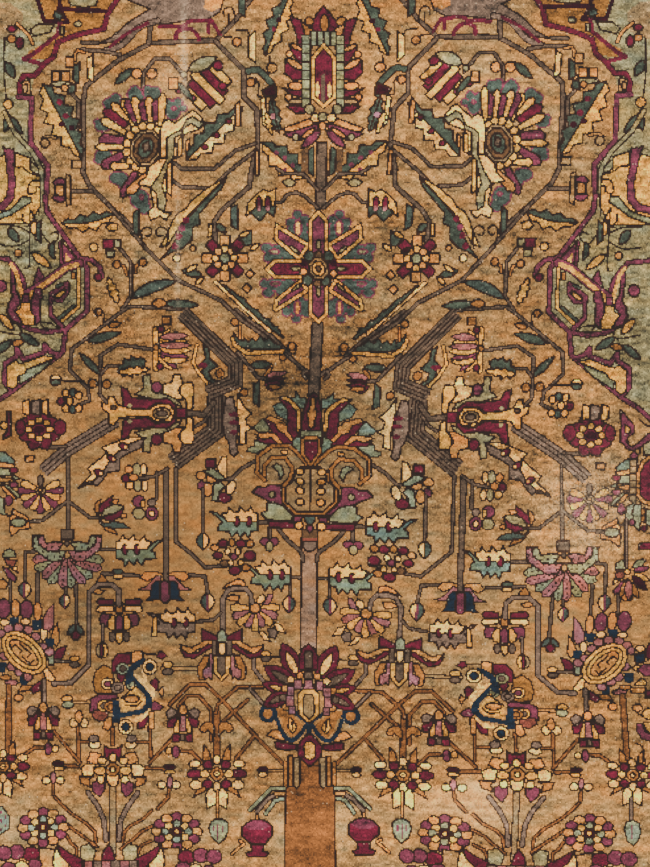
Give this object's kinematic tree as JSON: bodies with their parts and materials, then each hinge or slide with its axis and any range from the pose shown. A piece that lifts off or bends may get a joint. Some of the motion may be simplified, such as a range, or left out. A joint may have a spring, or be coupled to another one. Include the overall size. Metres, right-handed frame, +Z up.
{
  "type": "persian rug",
  "caption": "Cut length of a fine hand-knotted pile rug with a flowering tree design, lying flat pile up; covers a floor or table top.",
  "frame": {"origin": "middle of the flat underside", "axes": "+Z up out of the pile, +Y along the warps towards the top of the design, +X across the knot rows"},
  "size_m": [0.75, 1, 0.0063],
  "materials": {
    "pile": "silky sheared knotted pile, gold ground with wine, teal, cream and brown motifs"
  },
  "bodies": {
    "root": {"rug": "pile"}
  },
  "joints": []
}
